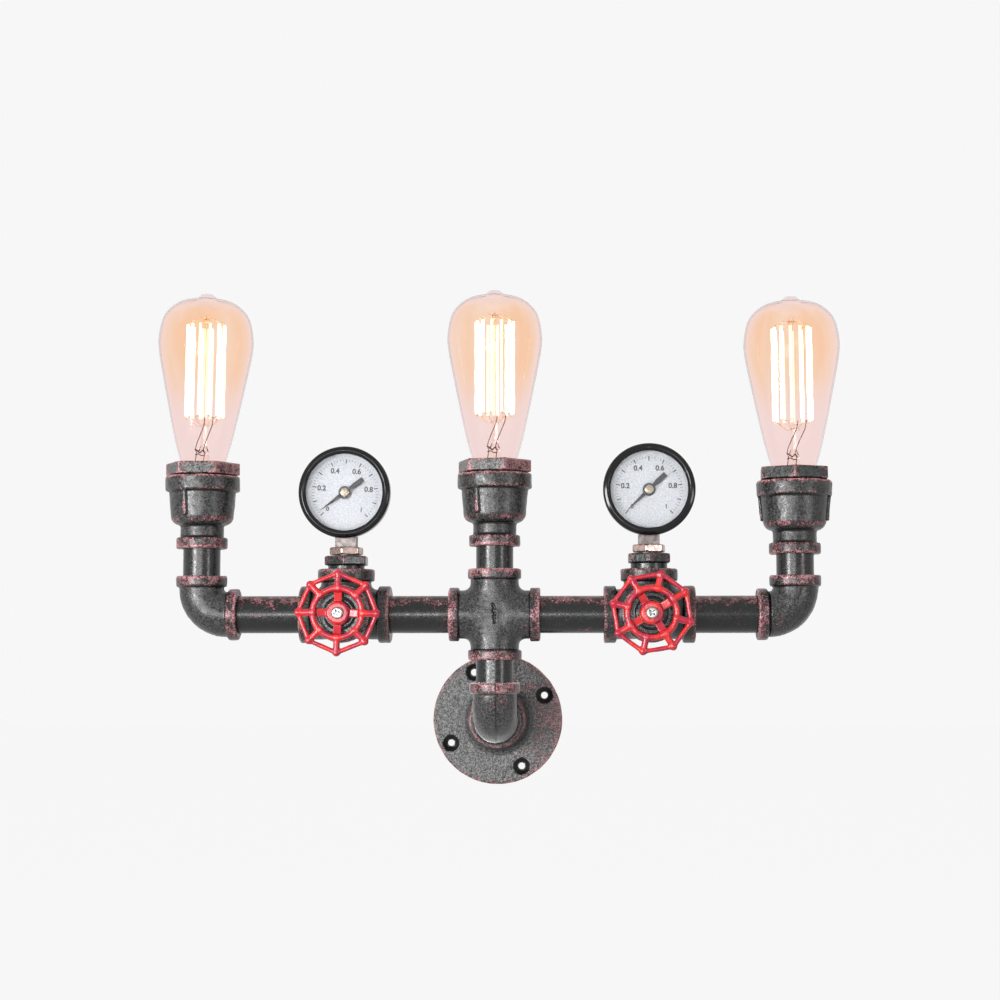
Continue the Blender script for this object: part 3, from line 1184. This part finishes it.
FLOOR_TONE, AMBIENT = 0.05, 0.2


def area_light(name, place, target, width, height, power):
    lamp_data = bpy.data.lights.new(name, "AREA")
    lamp_data.shape = "RECTANGLE"
    lamp_data.size, lamp_data.size_y, lamp_data.energy = width, height, power
    lamp = bpy.data.objects.new(name, lamp_data)
    lamp.location = place
    lamp.rotation_mode = "QUATERNION"
    lamp.rotation_quaternion = (Vector(target) - Vector(place)).to_track_quat("-Z", "Y")
    bpy.context.scene.collection.objects.link(lamp)
    return lamp


def seen_directly(tree):
    """1 for what the camera, a mirror or clear glass shows, and 0 for what lights the object."""
    path = tree.nodes.new("ShaderNodeLightPath")
    total = path.outputs["Is Camera Ray"]
    for output in ("Is Glossy Ray", "Is Transmission Ray"):
        add = tree.nodes.new("ShaderNodeMath")
        add.operation = "MAXIMUM"
        tree.links.new(total, add.inputs[0])
        tree.links.new(path.outputs[output], add.inputs[1])
        total = add.outputs[0]
    return total


def build_world(ambient):
    world = bpy.data.worlds.new("studio")
    bpy.context.scene.world = world
    world.use_nodes = True
    tree = world.node_tree
    tree.nodes.clear()
    shown, lit = tree.nodes.new("ShaderNodeBackground"), tree.nodes.new("ShaderNodeBackground")
    shown.inputs["Color"].default_value = (BACKDROP, BACKDROP, BACKDROP, 1)
    lit.inputs["Color"].default_value = (1, 1, 1, 1)
    lit.inputs["Strength"].default_value = ambient
    mix = tree.nodes.new("ShaderNodeMixShader")
    tree.links.new(seen_directly(tree), mix.inputs[0])
    tree.links.new(lit.outputs[0], mix.inputs[1])
    tree.links.new(shown.outputs[0], mix.inputs[2])
    output = tree.nodes.new("ShaderNodeOutputWorld")
    tree.links.new(mix.outputs[0], output.inputs["Surface"])


def build_floor(height):
    sheet = bmesh.new()
    bmesh.ops.create_grid(sheet, x_segments=8, y_segments=8, size=12)
    mesh = bpy.data.meshes.new("floor")
    sheet.to_mesh(mesh)
    sheet.free()
    mesh.transform(Matrix.Translation((0, 0, height)))
    floor = bpy.data.objects.new("floor", mesh)
    bpy.context.scene.collection.objects.link(floor)
    material = bpy.data.materials.new("pale_floor")
    material.use_nodes = True
    tree = material.node_tree
    shader = tree.nodes["Principled BSDF"]
    shader.inputs["Base Color"].default_value = (FLOOR_TONE, FLOOR_TONE, FLOOR_TONE, 1)
    shader.inputs["Roughness"].default_value = 0.9
    shader.inputs["Specular IOR Level"].default_value = 0.0
    shader.inputs["Emission Color"].default_value = (1, 1, 1, 1)
    strength = tree.nodes.new("ShaderNodeMath")
    strength.operation = "MULTIPLY"
    tree.links.new(seen_directly(tree), strength.inputs[0])
    strength.inputs[1].default_value = BACKDROP - FLOOR_TONE * AMBIENT * 1.6
    tree.links.new(strength.outputs[0], shader.inputs["Emission Strength"])
    mesh.materials.append(material)


build_world(AMBIENT)
build_floor(-0.4)
area_light("key", (-0.97, -1.22, 0.07), (0, -0.06, 0.12), 0.42, 0.5, 21)
area_light("front", (-0.3, -1.45, 0.06), (0, -0.06, 0.12), 0.8, 0.22, 9)
area_light("fill", (1.15, -1.1, 0.1), (0, -0.06, 0.13), 0.3, 0.3, 3.5)
area_light("top", (0.1, -0.55, 1.25), (0, -0.06, 0.13), 0.9, 0.5, 5).visible_glossy = False

camera_data = bpy.data.cameras.new("camera")
camera_data.lens, camera_data.sensor_width = CAMERA_LENS, CAMERA_SENSOR
camera = bpy.data.objects.new("camera", camera_data)
camera.location = CAMERA_PLACE
camera.rotation_mode = "QUATERNION"
camera.rotation_quaternion = (CAMERA_TARGET - CAMERA_PLACE).to_track_quat("-Z", "Y")
bpy.context.scene.collection.objects.link(camera)
bpy.context.scene.camera = camera
bpy.context.scene.view_settings.view_transform = "Standard"
